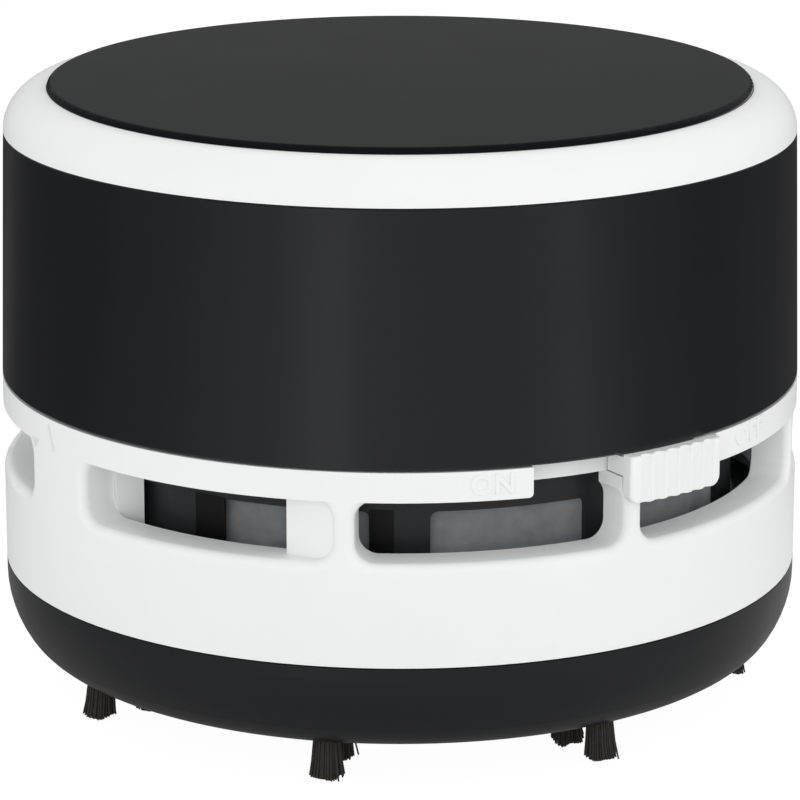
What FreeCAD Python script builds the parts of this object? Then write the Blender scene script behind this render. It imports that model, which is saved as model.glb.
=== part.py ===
# Desktop mini vacuum cleaner: a round, battery-driven crumb sweeper that stands on brush tufts.
#
# Frame: the origin lies on the table under the middle of the round body, +Z is up, the front with
# the ON/OFF slide faces -Y, and +X is to the right. Lengths are millimetres and angles degrees.
# Angles round the body are counted from the front, and grow towards the right-hand side.
#
# Five groups of pieces come apart or move: the base with its brushes, the filter cage that stands
# on it, the main unit with windows, motor and cells, the cap that turns to unlock, and the slide.

import FreeCAD, Part
import Sketcher
import math
import os

document = FreeCAD.newDocument("desk_vacuum")
sheet = document.addObject("Spreadsheet::Sheet", "Sizes")
sub_parts = []
quarter_turn = 90
half_turn = 180
full_turn = 360
tolerance_share = 0.001


class Size:
    """A length or angle: its number, and the sheet formula that gives the same number."""

    def __init__(self, number, formula):
        self.number = number
        self.formula = formula

    def __add__(self, other):
        return joined(self, "+", other)

    def __radd__(self, other):
        return joined(other, "+", self)

    def __sub__(self, other):
        return joined(self, "-", other)

    def __rsub__(self, other):
        return joined(other, "-", self)

    def __mul__(self, other):
        return joined(self, "*", other)

    def __truediv__(self, other):
        return joined(self, "/", other)

    def __neg__(self):
        return joined(0, "-", self)


def as_size(value):
    """Lets a share or a zero stand beside named sizes."""
    if isinstance(value, Size):
        return value
    return Size(float(value), repr(value))


def joined(left, sign, right):
    """The sum, difference, product or quotient of two sizes, with its formula."""
    left = as_size(left)
    right = as_size(right)
    results = {
        "+": left.number + right.number,
        "-": left.number - right.number,
        "*": left.number * right.number,
    }
    if sign == "/":
        results[sign] = left.number / right.number
    return Size(results[sign], f"({left.formula} {sign} {right.formula})")


def cosine(angle):
    return Size(math.cos(math.radians(angle.number)), f"cos({angle.formula})")


def sine(angle):
    return Size(math.sin(math.radians(angle.number)), f"sin({angle.formula})")


def root(square):
    return Size(math.sqrt(square.number), f"sqrt({square.formula})")


def size(alias, number):
    """Writes one driving size in the sheet and returns it."""
    row = len(sheet.getUsedCells()) // 2 + 1
    sheet.set(f"A{row}", alias.replace("_", " "))
    sheet.set(f"B{row}", str(number))
    sheet.setAlias(f"B{row}", alias)
    return Size(float(number), f"Sizes.{alias}")


def bind(thing, **properties):
    """Ties properties of a feature to sizes."""
    for name, value in properties.items():
        thing.setExpression(name, as_size(value).formula)


def sub_part(thing, label):
    """Names a finished sub-part."""
    thing.Label = label
    sub_parts.append(thing)
    return thing


def new_body(label):
    return sub_part(document.addObject("PartDesign::Body", label + "_body"), label)


def origin_plane(body, role):
    return [feature for feature in body.Origin.OriginFeatures if feature.Role == role][0]


def attach(sketch, body, role):
    sketch.AttachmentSupport = [(origin_plane(body, role), "")]
    sketch.MapMode = "FlatFace"


def arc_centre(start, end, radius, side):
    """Centre of the arc from start to end: side 1 has it on the left of that way, -1 on the right."""
    middle = (start + end) / 2
    chord = end - start
    reach = math.sqrt(max(radius ** 2 - (chord.Length / 2) ** 2, 0))
    left = FreeCAD.Vector(-chord.y, chord.x, 0)
    left.normalize()
    return middle + left * (reach * side)


def outline(body, name, corners, angle=0):
    """A closed outline of radius and height, in the upright half plane at an angle from the front.

    A corner is (radius, height), or (radius, height, arc radius, side) where an arc leads on from it.
    """
    sketch = body.newObject("Sketcher::SketchObject", name)
    attach(sketch, body, "XZ_Plane")
    quarter = FreeCAD.Rotation(FreeCAD.Vector(0, 1, 0), 1)
    sketch.AttachmentOffset = FreeCAD.Placement(FreeCAD.Vector(), quarter)
    turn = as_size(angle) - quarter_turn
    sketch.setExpression("AttachmentOffset.Rotation.Angle", turn.formula)
    places = []
    for corner in corners:
        places.append(FreeCAD.Vector(as_size(corner[0]).number, as_size(corner[1]).number, 0))
    starts = []
    ends = []
    for index, corner in enumerate(corners):
        here = places[index]
        there = places[(index + 1) % len(corners)]
        if len(corner) == 2:
            sketch.addGeometry(Part.LineSegment(here, there))
            starts.append(1)
            ends.append(2)
            continue
        radius, side = corner[2], corner[3]
        centre = arc_centre(here, there, radius.number, side)
        first, last = (here, there) if side > 0 else (there, here)
        span = [math.atan2(point.y - centre.y, point.x - centre.x) for point in (first, last)]
        circle = Part.Circle(centre, FreeCAD.Vector(0, 0, 1), radius.number)
        sketch.addGeometry(Part.ArcOfCircle(circle, span[0], span[1]))
        starts.append(1 if side > 0 else 2)
        ends.append(2 if side > 0 else 1)
    for index, corner in enumerate(corners):
        after = (index + 1) % len(corners)
        sketch.addConstraint(Sketcher.Constraint("Coincident", index, ends[index], after, starts[after]))
        for kind, value in (("DistanceX", as_size(corner[0])), ("DistanceY", as_size(corner[1]))):
            if value.number == 0 and kind == "DistanceX":
                sketch.addConstraint(Sketcher.Constraint("PointOnObject", index, starts[index], -2))
                continue
            number = sketch.addConstraint(
                Sketcher.Constraint(kind, -1, 1, index, starts[index], value.number)
            )
            sketch.setExpression(f"Constraints[{number}]", value.formula)
        if len(corner) == 4:
            number = sketch.addConstraint(Sketcher.Constraint("Radius", index, corner[2].number))
            sketch.setExpression(f"Constraints[{number}]", corner[2].formula)
    return sketch


def spin(body, name, corners, angle=0, span=full_turn, cut=False):
    """Turns an outline about the upright axis, through a span that starts at an angle from the front."""
    sketch = outline(body, name + "_outline", corners, angle)
    kind = "PartDesign::Groove" if cut else "PartDesign::Revolution"
    feature = body.newObject(kind, name)
    feature.Profile = sketch
    feature.ReferenceAxis = (sketch, ["V_Axis"])
    bind(feature, Angle=span)
    body.Tip = feature
    return feature


def block(low_radius, high_radius, bottom, top):
    """The four corners of an upright rectangle."""
    return [(low_radius, bottom), (high_radius, bottom), (high_radius, top), (low_radius, top)]


def plan_sketch(body, name, level, angle=0):
    """An empty level sketch, whose own X axis points at an angle from the front."""
    sketch = body.newObject("Sketcher::SketchObject", name)
    attach(sketch, body, "XY_Plane")
    sketch.AttachmentOffset = FreeCAD.Placement(
        FreeCAD.Vector(), FreeCAD.Rotation(FreeCAD.Vector(0, 0, 1), 1)
    )
    turn = as_size(angle) - quarter_turn
    sketch.setExpression("AttachmentOffset.Rotation.Angle", turn.formula)
    sketch.setExpression("AttachmentOffset.Base.z", as_size(level).formula)
    return sketch


def plan_circle(body, name, level, angle, distance, radius):
    """A circle in a level sketch, at a distance out from the upright axis."""
    sketch = plan_sketch(body, name, level, angle)
    centre = FreeCAD.Vector(distance.number, 0, 0)
    sketch.addGeometry(Part.Circle(centre, FreeCAD.Vector(0, 0, 1), radius.number))
    sketch.addConstraint(Sketcher.Constraint("PointOnObject", 0, 3, -1))
    number = sketch.addConstraint(Sketcher.Constraint("DistanceX", -1, 1, 0, 3, distance.number))
    sketch.setExpression(f"Constraints[{number}]", distance.formula)
    number = sketch.addConstraint(Sketcher.Constraint("Radius", 0, radius.number))
    sketch.setExpression(f"Constraints[{number}]", radius.formula)
    return sketch


def raised(body, name, sketch, height, cut=False, upwards=True):
    """Pads or pockets a level sketch, upwards or downwards from its level."""
    feature = body.newObject("PartDesign::Pocket" if cut else "PartDesign::Pad", name)
    feature.Profile = sketch
    feature.Reversed = upwards if cut else not upwards
    bind(feature, Length=height)
    body.Tip = feature
    return feature


def repeated(body, name, features, axis_sketch, count, spacing=None, level=False):
    """Repeats features round the upright axis, evenly or at a spacing."""
    pattern = body.newObject("PartDesign::PolarPattern", name)
    pattern.Originals = features
    pattern.Axis = (axis_sketch, ["N_Axis" if level else "V_Axis"])
    pattern.Occurrences = count
    if spacing is not None:
        pattern.Mode = "Spacing"
        bind(pattern, Offset=spacing)
    body.Tip = pattern
    return pattern


def sector(label, low_radius, high_radius, bottom, top, angle=0, span=full_turn):
    """A sub-part that is a plain ring or a stretch of one."""
    body = new_body(label)
    spin(body, label + "_ring", block(low_radius, high_radius, bottom, top), angle, span)
    return body


def softened(body, name, radius, wanted):
    """Rounds the edges of a body whose middle point passes a test."""
    document.recompute()
    base = body.Tip
    names = []
    for index, edge in enumerate(base.Shape.Edges):
        middle = edge.valueAt((edge.FirstParameter + edge.LastParameter) / 2)
        if wanted(edge, middle):
            names.append(f"Edge{index + 1}")
    feature = body.newObject("PartDesign::Fillet", name)
    feature.Base = (base, names)
    bind(feature, Radius=radius)
    body.Tip = feature
    return feature


def between(first, second, share):
    """The point at a share of the way from the first point to the second, or past it."""
    return [a + (b - a) * share for a, b in zip(first, second)]


def from_front(point):
    """The angle of a point round the body, counted from the front."""
    return math.degrees(math.atan2(point.x, -point.y))


def near(value, wanted):
    return abs(value - wanted) < tolerance_share * abs(wanted)


def cylinder(name, radius, height, x=0, y=0, z=0, along_y=False):
    """A round bar, standing or lying along Y, whose lower or front end is at the place given."""
    bar = document.addObject("Part::Cylinder", name)
    if along_y:
        bar.Placement = FreeCAD.Placement(
            FreeCAD.Vector(), FreeCAD.Rotation(FreeCAD.Vector(1, 0, 0), -quarter_turn)
        )
    bind(bar, Radius=radius, Height=height)
    place(bar, x, y, z)
    return bar


def box(name, length, width, height, x=0, y=0, z=0):
    """A block that is centred on x and y, and stands on z."""
    slab = document.addObject("Part::Box", name)
    bind(slab, Length=length, Width=width, Height=height)
    place(slab, x - as_size(length) / 2, y - as_size(width) / 2, z)
    return slab


def place(thing, x=0, y=0, z=0):
    for axis, value in (("x", x), ("y", y), ("z", z)):
        thing.setExpression(f"Placement.Base.{axis}", as_size(value).formula)


def united(name, pieces):
    whole = document.addObject("Part::MultiFuse", name)
    whole.Shapes = pieces
    return whole


def shared(name, pieces):
    whole = document.addObject("Part::MultiCommon", name)
    whole.Shapes = pieces
    return whole


def carved(name, base, tools):
    """The base with every tool cut out of it."""
    result = base
    for index, tool in enumerate(tools):
        step = document.addObject("Part::Cut", f"{name}_{index}")
        step.Base = result
        step.Tool = tool
        result = step
    return result


def turned(thing, angle):
    """Turns a sub-part about the upright axis."""
    thing.Placement = FreeCAD.Placement(
        FreeCAD.Vector(), FreeCAD.Rotation(FreeCAD.Vector(0, 0, 1), 1)
    )
    thing.setExpression("Placement.Rotation.Angle", as_size(angle).formula)
    return thing


# Two AA cells lie on both sides of a flat-sided motor: their far corners set the width of the body
cell_radius = size("cell_radius", 7.1)
cell_length = size("cell_length", 49.2)
nub_reach = size("nub_reach", 1.2)
cell_gap = size("cell_gap", 0.2)
tray_wall = size("tray_wall", 1.2)
can_flat_width = size("can_flat_width", 15.1)
pack_room = size("pack_room", 2.378)
running_gap = size("running_gap", 0.3)
fit_gap = size("fit_gap", 0.05)
seam_gap = size("seam_gap", 0.15)
cut_overrun = size("cut_overrun", 1.0)
collar_wall = size("collar_wall", 1.4)
lock_depth = size("lock_depth", 1.35)
rail_wall = size("rail_wall", 2.9)

motor_room = can_flat_width / 2 + running_gap
cell_offset = motor_room + tray_wall + cell_gap + cell_radius
cell_half = (cell_length + nub_reach) / 2
pack_half_width = cell_offset + cell_radius
pack_reach = root(pack_half_width * pack_half_width + cell_half * cell_half)
body_radius = pack_reach + pack_room + collar_wall + lock_depth + fit_gap + rail_wall

# Heights of the whole body, from the table upwards
tuft_reach = size("tuft_reach", 4.5)
base_height = size("base_height", 9.7)
ring_height = size("ring_height", 20.2)
band_height = size("band_height", 26.1)
band_draft = size("band_draft", 0.65)
crown_rise = size("crown_rise", 4.3)
disc_proud = size("disc_proud", 0.64)

underside_level = tuft_reach
seam_level = underside_level + base_height
rail_top = seam_level + ring_height
band_bottom = rail_top + seam_gap
band_top = band_bottom + band_height
crown_top = band_top + crown_rise
disc_top_level = crown_top + disc_proud

# Base bowl: the black foot with the suction mouth, its chimney and the tuft sockets
bowl_wall = size("bowl_wall", 1.8)
bowl_corner_width = size("bowl_corner_width", 6.3)
bowl_corner_height = size("bowl_corner_height", 8.4)
bowl_upper_arc = size("bowl_upper_arc", 11.0)
mouth_radius = size("mouth_radius", 15.0)
inlet_radius = size("inlet_radius", 8.5)
inlet_wall = size("inlet_wall", 1.4)
throat_rise = size("throat_rise", 4.5)
inlet_height = size("inlet_height", 9.5)
lip_wall = size("lip_wall", 1.3)
lip_height = size("lip_height", 3.0)
ring_wall = size("ring_wall", 1.9)
tuft_inset = size("tuft_inset", 0.6)
tuft_row_gap = size("tuft_row_gap", 5.6)
outer_tuft_lean = size("outer_tuft_lean", 0.3)
inner_tuft_lean = size("inner_tuft_lean", 0.2)
tuft_root_radius = size("tuft_root_radius", 1.4)
tuft_tip_radius = size("tuft_tip_radius", 1.6)
socket_depth = size("socket_depth", 2.4)
socket_wall = size("socket_wall", 1.1)
tuft_angles = [
    size("first_tuft_angle", -62.0),
    size("second_tuft_angle", -12.0),
    size("third_tuft_angle", 35.0),
    size("fourth_tuft_angle", 86.0),
]

flat_radius = body_radius - bowl_corner_width
outer_tuft_circle = flat_radius - tuft_inset
inner_tuft_circle = outer_tuft_circle - tuft_row_gap
bowl_lower_arc = (
    bowl_upper_arc * bowl_upper_arc
    - (bowl_upper_arc - bowl_corner_width) * (bowl_upper_arc - bowl_corner_width)
    - bowl_corner_height * bowl_corner_height
) / ((bowl_upper_arc - bowl_corner_height) * 2)
corner_top = underside_level + bowl_corner_height
# The two arcs of the corner meet on the line through their centres
upper_centre = (body_radius - bowl_upper_arc, corner_top)
lower_centre = (flat_radius, underside_level + bowl_lower_arc)
meeting_share = bowl_upper_arc / (bowl_upper_arc - bowl_lower_arc)
inner_meeting_share = (bowl_upper_arc - bowl_wall) / (bowl_upper_arc - bowl_lower_arc)
outer_meeting = between(upper_centre, lower_centre, meeting_share)
inner_meeting = between(upper_centre, lower_centre, inner_meeting_share)
ring_inner = body_radius - ring_wall
lip_outer = ring_inner - running_gap
lip_inner = lip_outer - lip_wall
lip_top = seam_level + lip_height
floor_level = underside_level + bowl_wall
throat_level = underside_level + throat_rise
inlet_outer = inlet_radius + inlet_wall
inlet_top = throat_level + inlet_height

base_bowl = new_body("base_bowl")
spin(base_bowl, "bowl", [
    (mouth_radius, underside_level),
    (flat_radius, underside_level, bowl_lower_arc, 1),
    (outer_meeting[0], outer_meeting[1], bowl_upper_arc, 1),
    (body_radius, corner_top),
    (body_radius, seam_level),
    (lip_outer, seam_level),
    (lip_outer, lip_top),
    (lip_inner, lip_top),
    (lip_inner, corner_top),
    (body_radius - bowl_wall, corner_top, bowl_upper_arc - bowl_wall, -1),
    (inner_meeting[0], inner_meeting[1], bowl_lower_arc - bowl_wall, -1),
    (flat_radius, floor_level),
    (mouth_radius + bowl_wall, floor_level),
    (inlet_outer, throat_level + bowl_wall),
    (inlet_outer, inlet_top),
    (inlet_radius, inlet_top),
    (inlet_radius, throat_level),
])
boss_start = underside_level + bowl_wall / 2
boss_height = socket_depth + socket_wall - bowl_wall / 2
tuft_rows = [
    ("outer", outer_tuft_circle, outer_tuft_lean), ("inner", inner_tuft_circle, inner_tuft_lean)
]
# The sockets stand at four angles in front, and at the same four half a turn further on
for row, circle, lean in tuft_rows:
    bosses = []
    for index, angle in enumerate(tuft_angles):
        boss_sketch = plan_circle(
            base_bowl, f"{row}_boss_circle_{index + 1}", boss_start, angle, circle,
            tuft_root_radius + fit_gap + socket_wall,
        )
        bosses.append(raised(base_bowl, f"{row}_boss_{index + 1}", boss_sketch, boss_height))
    repeated(base_bowl, row + "_bosses", bosses, boss_sketch, 2, level=True)
for row, circle, lean in tuft_rows:
    sockets = []
    for index, angle in enumerate(tuft_angles):
        socket_sketch = plan_circle(
            base_bowl, f"{row}_socket_circle_{index + 1}", underside_level, angle, circle,
            tuft_root_radius + fit_gap,
        )
        sockets.append(
            raised(base_bowl, f"{row}_socket_{index + 1}", socket_sketch, socket_depth, cut=True)
        )
    repeated(base_bowl, row + "_sockets", sockets, socket_sketch, 2, level=True)

# Brush tufts: set in the sockets, straight there, then spreading a little to the table
for row, circle, lean in tuft_rows:
    tufts = new_body(row + "_bristle_tufts")
    lofts = []
    for index, angle in enumerate(tuft_angles):
        name = f"{row}_tuft_{index + 1}"
        top_sketch = plan_circle(
            tufts, name + "_root", underside_level + socket_depth - fit_gap, angle, circle,
            tuft_root_radius,
        )
        mouth_sketch = plan_circle(
            tufts, name + "_mouth", underside_level, angle, circle, tuft_root_radius
        )
        tip_sketch = plan_circle(tufts, name + "_tip", 0, angle, circle + lean, tuft_tip_radius)
        loft = tufts.newObject("PartDesign::AdditiveLoft", name)
        loft.Profile = top_sketch
        loft.Sections = [mouth_sketch, tip_sketch]
        loft.Ruled = True
        tufts.Tip = loft
        lofts.append(loft)
    repeated(tufts, row + "_tuft_ring", lofts, top_sketch, 2, level=True)

# Window ring: the white housing with eight outlet windows and the notch for the slide
window_depth = size("window_depth", 4.1)
window_drop = size("window_drop", 3.05)
window_height = size("window_height", 6.4)
window_starts = [
    size("first_window_start", -49.3),
    size("second_window_start", -6.1),
    size("third_window_start", 34.8),
    size("fourth_window_start", 77.8),
]
window_spans = [
    size("first_window_span", 40.2),
    size("second_window_span", 38.1),
    size("third_window_span", 40.2),
    size("fourth_window_span", 38.6),
]
window_corner = size("window_corner", 2.0)
window_rim_round = size("window_rim_round", 0.9)
ramp_span = size("ramp_span", 7.2)
ramp_depth = size("ramp_depth", 2.6)
ramp_end_depth = size("ramp_end_depth", 1.0)
thick_wall_slope = size("thick_wall_slope", 2.2)
thick_wall_drop = size("thick_wall_drop", 3.0)
end_rib_span = size("end_rib_span", 3.0)
end_rib_depth = size("end_rib_depth", 2.1)
deck_seat_drop = size("deck_seat_drop", 2.2)
notch_start_angle = size("notch_start_angle", 17.95)
notch_span = size("notch_span", 30.6)
notch_corner = size("notch_corner", 0.9)
tab_corner = size("tab_corner", 0.45)

window_top = rail_top - window_drop
window_bottom = window_top - window_height
window_inner = body_radius - window_depth
rail_inner = body_radius - rail_wall
deck_seat = rail_top - deck_seat_drop
thick_wall_bottom = window_bottom - thick_wall_drop
ring_bottom = seam_level + seam_gap

ring_housing = new_body("ring_housing")
spin(ring_housing, "ring", [
    (ring_inner, ring_bottom),
    (body_radius, ring_bottom),
    (body_radius, rail_top),
    (rail_inner, rail_top),
    (rail_inner, deck_seat),
    (window_inner, deck_seat),
    (window_inner, thick_wall_bottom),
    (ring_inner, thick_wall_bottom - thick_wall_slope),
])
window_shape = block(
    window_inner - cut_overrun, body_radius + cut_overrun, window_bottom, window_top
)
for group, group_turn in (("front", 0), ("back", half_turn)):
    for index, (start, span) in enumerate(zip(window_starts, window_spans)):
        spin(
            ring_housing, f"{group}_window_{index + 1}", window_shape, start + group_turn, span,
            cut=True,
        )


def reaches(edge, low, high):
    """True for an edge that leads from one radius to another in an upright plane."""
    ends = [edge.valueAt(edge.FirstParameter), edge.valueAt(edge.LastParameter)]
    radii = sorted(math.hypot(end.x, end.y) for end in ends)
    turn = abs(from_front(ends[0]) - from_front(ends[1]))
    return near(radii[0], low.number) and near(radii[1], high.number) and turn < tolerance_share


def window_corner_edge(edge, middle):
    """True for the edges through the full depth of the wall at the corners of a window."""
    return reaches(edge, window_inner, body_radius)


def window_rim_edge(edge, middle):
    """True for the edges of a window on the outside of the ring, but not its upper edge."""
    radius = math.hypot(middle.x, middle.y)
    low = (window_bottom - fit_gap).number
    high = (window_top - fit_gap).number
    return near(radius, body_radius.number) and low < middle.z < high


softened(ring_housing, "window_corners", window_corner, window_corner_edge)
softened(ring_housing, "window_rims", window_rim_round, window_rim_edge)
# The rail over the windows keeps its sharp lower edge
spin(
    ring_housing, "rail",
    block(body_radius - window_rim_round - fit_gap, body_radius, window_top, rail_top),
)

# The first window of each group ends in a blind ramp, and a rib deepens its other end
floor_radius = body_radius - ramp_depth
end_radius = body_radius - ramp_end_depth
ramp_corners = [
    (window_inner, as_size(0)),
    (floor_radius, as_size(0)),
    (end_radius * cosine(ramp_span), end_radius * sine(ramp_span)),
    (window_inner * cosine(ramp_span), window_inner * sine(ramp_span)),
]
for group, group_turn in (("front", 0), ("back", half_turn)):
    start = window_starts[0] + group_turn
    ramp_sketch = plan_sketch(
        ring_housing, group + "_ramp_plan", window_bottom, start + window_spans[0] - ramp_span
    )
    for index, (x, y) in enumerate(ramp_corners):
        after = ramp_corners[(index + 1) % len(ramp_corners)]
        ramp_sketch.addGeometry(Part.LineSegment(
            FreeCAD.Vector(x.number, y.number, 0), FreeCAD.Vector(after[0].number, after[1].number, 0)
        ))
    for index, (x, y) in enumerate(ramp_corners):
        after = (index + 1) % len(ramp_corners)
        ramp_sketch.addConstraint(Sketcher.Constraint("Coincident", index, 2, after, 1))
        number = ramp_sketch.addConstraint(
            Sketcher.Constraint("DistanceX", -1, 1, index, 1, x.number)
        )
        ramp_sketch.setExpression(f"Constraints[{number}]", x.formula)
        if y.number == 0:
            ramp_sketch.addConstraint(Sketcher.Constraint("PointOnObject", index, 1, -1))
            continue
        number = ramp_sketch.addConstraint(
            Sketcher.Constraint("DistanceY", -1, 1, index, 1, y.number)
        )
        ramp_sketch.setExpression(f"Constraints[{number}]", y.formula)
    raised(ring_housing, group + "_ramp", ramp_sketch, window_height)
    spin(
        ring_housing, group + "_end_rib",
        block(window_inner - end_rib_depth, window_inner + fit_gap, thick_wall_bottom, deck_seat),
        start - end_rib_span, end_rib_span,
    )

# The notch opens the rail over the deck seat. Under it the wall between two windows stays as a post
post_left_angle = window_starts[1] + window_spans[1]
post_right_angle = window_starts[2]
notch_end_angle = notch_start_angle + notch_span
under_notch = block(
    window_inner - cut_overrun, body_radius + cut_overrun, window_top - window_corner / 2, deck_seat
)
spin(
    ring_housing, "slide_notch",
    block(rail_inner, body_radius + cut_overrun, deck_seat, rail_top + cut_overrun),
    notch_start_angle, notch_span, cut=True,
)
spin(
    ring_housing, "notch_left", under_notch, notch_start_angle,
    post_left_angle - notch_corner - notch_start_angle, cut=True,
)
spin(
    ring_housing, "notch_right", under_notch, post_right_angle + notch_corner,
    notch_end_angle - post_right_angle - notch_corner, cut=True,
)
# The tab beside the notch has a rounded lower corner, cut outwards from the upright axis
corner_sketch = outline(ring_housing, "tab_corner_outline", [
    (0, window_top),
    (tab_corner, window_top, tab_corner, -1),
    (0, window_top + tab_corner),
], notch_start_angle - quarter_turn)
corner_cut = ring_housing.newObject("PartDesign::Pocket", "tab_corner")
corner_cut.Profile = corner_sketch
corner_cut.Reversed = False
bind(corner_cut, Length=body_radius + cut_overrun)
ring_housing.Tip = corner_cut

# Deck: the white floor of the main unit, with its skirt in the ring and its collar in the cap
deck_drop = size("deck_drop", 0.9)
collar_height = size("collar_height", 7.5)
shaft_hole_radius = size("shaft_hole_radius", 3.2)
slot_height = size("slot_height", 1.45)
ledge_height = size("ledge_height", 1.2)
ledge_span = size("ledge_span", 14.0)
lug_height = size("lug_height", 1.4)
lug_span = size("lug_span", 10.0)
stop_span = size("stop_span", 2.0)
lock_level = size("lock_level", 2.2)
first_lock_angle = size("first_lock_angle", -57.8)
lock_count = 3
post_offset = size("post_offset", 13.6)
post_radius = size("post_radius", 2.2)
pack_angle = size("pack_angle", 33.0)
screw_radius = size("screw_radius", 0.85)
screw_length = size("screw_length", 6.0)
screw_head_radius = size("screw_head_radius", 1.8)
screw_head_height = size("screw_head_height", 1.2)
strap_thickness = size("strap_thickness", 0.8)

post_angle = pack_angle + quarter_turn
skirt_outer = rail_inner - fit_gap
deck_top = rail_top - deck_drop
deck_thickness = deck_top - deck_seat
collar_outer = skirt_outer - lock_depth
collar_inner = collar_outer - collar_wall
collar_top = deck_top + collar_height
slot_bottom = rail_top + fit_gap
slot_top = slot_bottom + slot_height
lug_bottom = rail_top + lock_level
lug_top = lug_bottom + lug_height
ledge_bottom = lug_top + running_gap
ledge_top = ledge_bottom + ledge_height

# Slide: the knob's place and travel round the body, which the slot in the deck follows
knob_start_angle = size("knob_start_angle", 31.1)
knob_span = size("knob_span", 15.8)
knob_travel = size("knob_travel", 9.5)
stem_inset = size("stem_inset", 0.1)
stem_end_inset = size("stem_end_inset", 2.0)
slot_end_gap = size("slot_end_gap", 0.6)

stem_start_angle = knob_start_angle + stem_inset
stem_span = knob_span - stem_inset - stem_end_inset

# Motor: its levels set the height of the posts that carry its strap
cushion_thickness = size("cushion_thickness", 0.8)
can_height = size("can_height", 18.5)
end_cap_height = size("end_cap_height", 4.6)
cushion_bottom = deck_top
can_bottom = deck_top + cushion_thickness
can_top = can_bottom + can_height
end_cap_top = can_top + end_cap_height

motor_deck = new_body("motor_deck")
spin(motor_deck, "deck", [
    (shaft_hole_radius, deck_seat),
    (skirt_outer, deck_seat),
    (skirt_outer, rail_top),
    (collar_outer, rail_top),
    (collar_outer, collar_top),
    (collar_inner, collar_top),
    (collar_inner, deck_top),
    (shaft_hole_radius, deck_top),
])
spin(
    motor_deck, "slide_slot",
    block(collar_inner - cut_overrun, skirt_outer + cut_overrun, slot_bottom, slot_top),
    stem_start_angle - knob_travel - slot_end_gap, stem_span + knob_travel + slot_end_gap * 2,
    cut=True,
)
ledge = spin(
    motor_deck, "lock_ledge", block(collar_outer - fit_gap, skirt_outer, ledge_bottom, ledge_top),
    first_lock_angle - ledge_span / 2, ledge_span,
)
stop = spin(
    motor_deck, "lock_stop", block(collar_outer - fit_gap, skirt_outer, lug_bottom, ledge_top),
    first_lock_angle - ledge_span / 2 - stop_span, stop_span,
)
repeated(motor_deck, "locks", [ledge, stop], ledge.Profile[0], lock_count)
post_sketch = plan_circle(
    motor_deck, "post_circle", deck_top - deck_thickness / 2, post_angle, post_offset, post_radius
)
post = raised(motor_deck, "post", post_sketch, end_cap_top - deck_top + deck_thickness / 2)
repeated(motor_deck, "posts", [post], post_sketch, 2, level=True)
pilot_sketch = plan_circle(
    motor_deck, "pilot_circle", end_cap_top, post_angle, post_offset, screw_radius + fit_gap
)
pilot = raised(motor_deck, "pilot", pilot_sketch, screw_length, cut=True, upwards=False)
repeated(motor_deck, "pilots", [pilot], pilot_sketch, 2, level=True)

# Filter cage: a black frame of ten windows on a flange, a woven sleeve inside it and its gasket
cage_gap = size("cage_gap", 2.4)
cage_wall = size("cage_wall", 1.4)
flange_thickness = size("flange_thickness", 1.2)
gasket_thickness = size("gasket_thickness", 0.8)
flange_inset = size("flange_inset", 3.0)
cage_window_rise = size("cage_window_rise", 1.6)
cage_rail_height = size("cage_rail_height", 3.4)
cage_window_span = size("cage_window_span", 26.4)
cage_corner = size("cage_corner", 0.8)
inner_bar_span = size("inner_bar_span", 4.0)
inner_bar_depth = size("inner_bar_depth", 0.7)
mesh_thickness = size("mesh_thickness", 0.3)
cage_window_count = 10
blind_window_number = 2

gasket_bottom = lip_top + fit_gap
flange_bottom = gasket_bottom + gasket_thickness
flange_top = flange_bottom + flange_thickness
cage_top = deck_seat - running_gap
cage_radius = window_inner - cage_gap
cage_inner = cage_radius - cage_wall
flange_inner = cage_radius - flange_inset
cage_window_bottom = flange_top + cage_window_rise
cage_window_top = cage_top - cage_rail_height
cage_pitch = as_size(full_turn / cage_window_count)
cage_pillar_span = cage_pitch - cage_window_span

filter_frame = new_body("filter_frame")
spin(filter_frame, "cage", [
    (flange_inner, flange_bottom),
    (lip_outer, flange_bottom),
    (lip_outer, flange_top),
    (cage_radius, flange_top),
    (cage_radius, cage_top),
    (cage_inner, cage_top),
    (cage_inner, flange_top),
    (flange_inner, flange_top),
])
cage_window = spin(
    filter_frame, "cage_window",
    block(cage_inner - cut_overrun, cage_radius + cut_overrun, cage_window_bottom, cage_window_top),
    cage_pillar_span / 2, cage_window_span, cut=True,
)
repeated(
    filter_frame, "cage_windows", [cage_window], cage_window.Profile[0], cage_window_count
)


def cage_corner_edge(edge, middle):
    """True for the short edges through the cage wall at the corners of its windows."""
    if not near(edge.Length, cage_wall.number) or not isinstance(edge.Curve, Part.Line):
        return False
    return near(middle.z, cage_window_bottom.number) or near(middle.z, cage_window_top.number)


softened(filter_frame, "cage_corners", cage_corner, cage_corner_edge)
# Each pillar has a thin bar along one side, and one window left of the front is closed by a panel
inner_bar = spin(
    filter_frame, "inner_bar",
    block(cage_inner, cage_inner + inner_bar_depth, flange_top, cage_top - cage_rail_height / 2),
    -cage_pillar_span / 2 - inner_bar_span, inner_bar_span + cage_pillar_span / 2,
)
repeated(filter_frame, "inner_bars", [inner_bar], inner_bar.Profile[0], cage_window_count)
spin(
    filter_frame, "blind_panel",
    block(cage_inner, cage_inner + inner_bar_depth, flange_top, cage_top - cage_rail_height / 2),
    -cage_pitch * blind_window_number, cage_pitch,
)
sector(
    "filter_mesh", cage_inner - fit_gap - mesh_thickness, cage_inner - fit_gap,
    flange_top, cage_window_top + cage_rail_height / 2,
)
sector("filter_gasket", lip_inner, lip_outer, gasket_bottom, flange_bottom)

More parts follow.
